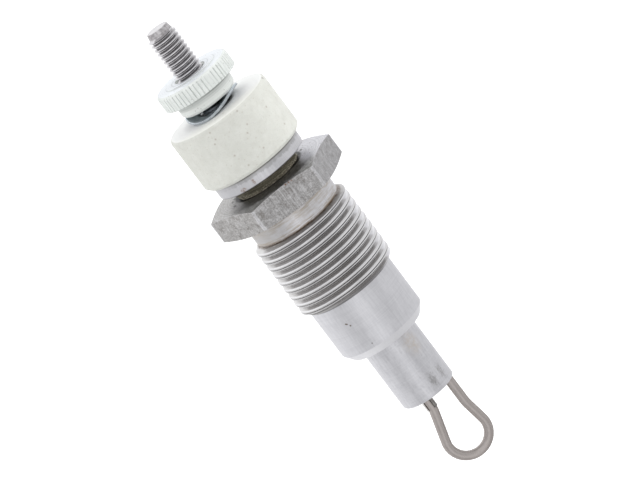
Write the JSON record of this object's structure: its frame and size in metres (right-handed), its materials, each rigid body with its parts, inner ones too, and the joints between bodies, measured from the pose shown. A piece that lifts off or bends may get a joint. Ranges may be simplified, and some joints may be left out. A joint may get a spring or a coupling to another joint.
{
  "type": "diesel glow plug",
  "caption": "Two-pole diesel glow plug with an open heater wire loop, a threaded hexagon body, a ceramic insulator and a stud terminal with a knurled nut.",
  "frame": {"origin": "on the plug's axis, at the wide end of the sealing cone", "axes": "+Z along the axis towards the terminal stud, +X in the plane of the heater loop towards its outer leg"},
  "size_m": [0.0242, 0.0216, 0.0901],
  "materials": {
    "body_steel": "turned and drawn steel, satin",
    "pole_steel": "turned steel, satin",
    "ring_steel": "turned steel, bright satin",
    "mica": "laminated mica, rough edge",
    "inner_mica": "wound mica",
    "inner_ceramic": "unglazed",
    "stud_steel": "dark steel",
    "ferrule_steel": "dark crimped steel",
    "heater_wire": "matte oxidised heater alloy",
    "ceramic": "fine-grained, unglazed",
    "washer_zinc": "blue zinc plated",
    "nut_zinc": "pale zinc plated, matte"
  },
  "bodies": {
    "root": {"plug_body": "body_steel", "pole_tube": "pole_steel", "contact_ring": "ring_steel", "ring_mica_washer": "mica", "body_sleeve": "inner_mica", "flange_seal": "inner_mica", "body_lower_bush": "inner_ceramic", "centre_electrode": "stud_steel", "electrode_sleeve": "inner_mica", "electrode_lower_bush": "inner_ceramic", "electrode_upper_bush": "inner_ceramic", "gland_nut": "pole_steel", "end_bush": "inner_ceramic", "heater_ferrule": "ferrule_steel", "heater_loop": "heater_wire", "ceramic_insulator": "ceramic", "spring_washer": "washer_zinc", "knurled_nut": "nut_zinc"}
  },
  "joints": []
}
